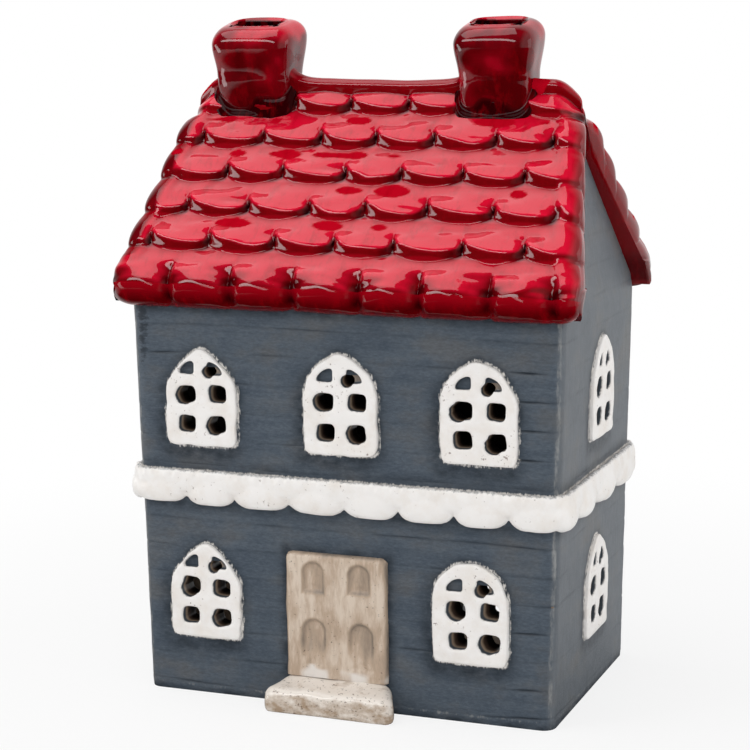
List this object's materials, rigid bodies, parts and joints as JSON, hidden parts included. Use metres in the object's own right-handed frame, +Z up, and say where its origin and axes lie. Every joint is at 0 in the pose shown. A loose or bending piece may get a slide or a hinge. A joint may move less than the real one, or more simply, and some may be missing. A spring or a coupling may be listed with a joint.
{
  "type": "tealight house",
  "caption": "Glazed stoneware candle house with a steep tiled roof, open flues, pierced windows and a tealight that slides in through an arch in the back wall.",
  "frame": {"origin": "on the table under the middle of the four walls, at the foot of the base slab", "axes": "+X to the right along the front wall, +Y from the front towards the back, +Z up"},
  "size_m": [0.1154, 0.0757, 0.16],
  "materials": {
    "red_glaze": "glossy translucent red glaze, darker in the recesses",
    "blue_grey_glaze": "brushed semi-matt blue-grey slip",
    "white_slip": "thick brushed off-white slip with small brown specks",
    "door_slip": "streaked beige and grey-brown slip",
    "step_glaze": "pooled off-white glaze with dark specks",
    "cup_foil": "thin drawn foil",
    "candle_wax": "white wax",
    "cotton_wick": "waxed braided cotton",
    "tinned_steel": "thin stamped sheet"
  },
  "bodies": {
    "house": {"base_slab": "blue_grey_glaze", "front_wall": "blue_grey_glaze", "back_wall": "blue_grey_glaze", "left_gable_wall": "blue_grey_glaze", "right_gable_wall": "blue_grey_glaze", "front_roof_slab": "red_glaze", "rear_roof_slab": "red_glaze", "front_tile_course_1": "red_glaze", "front_tile_course_2": "red_glaze", "front_tile_course_3": "red_glaze", "front_tile_course_4": "red_glaze", "front_tile_course_5": "red_glaze", "front_tile_course_6": "red_glaze", "rear_tile_course_1": "red_glaze", "rear_tile_course_2": "red_glaze", "rear_tile_course_3": "red_glaze", "rear_tile_course_4": "red_glaze", "rear_tile_course_5": "red_glaze", "rear_tile_course_6": "red_glaze", "ridge_roll": "red_glaze", "left_chimney": "red_glaze", "right_chimney": "red_glaze", "upper_front_window_left": "white_slip", "upper_front_window_centre": "white_slip", "upper_front_window_right": "white_slip", "lower_front_window_left": "white_slip", "lower_front_window_right": "white_slip", "left_side_window_upper": "white_slip", "left_side_window_lower": "white_slip", "right_side_window_upper": "white_slip", "right_side_window_lower": "white_slip", "front_storey_band": "white_slip", "back_storey_band": "white_slip", "left_storey_band": "white_slip", "right_storey_band": "white_slip", "front_door": "door_slip", "door_step": "step_glaze"},
    "tealight": {"tealight_cup": "cup_foil", "tealight_wax": "candle_wax", "tealight_wick": "cotton_wick", "wick_sustainer": "tinned_steel"}
  },
  "joints": [
    {"name": "tealight_slide", "type": "slide", "parent": "house", "child": "tealight", "axis": [0, 1, 0], "range_m": [-0.0066, 0.07]}
  ]
}
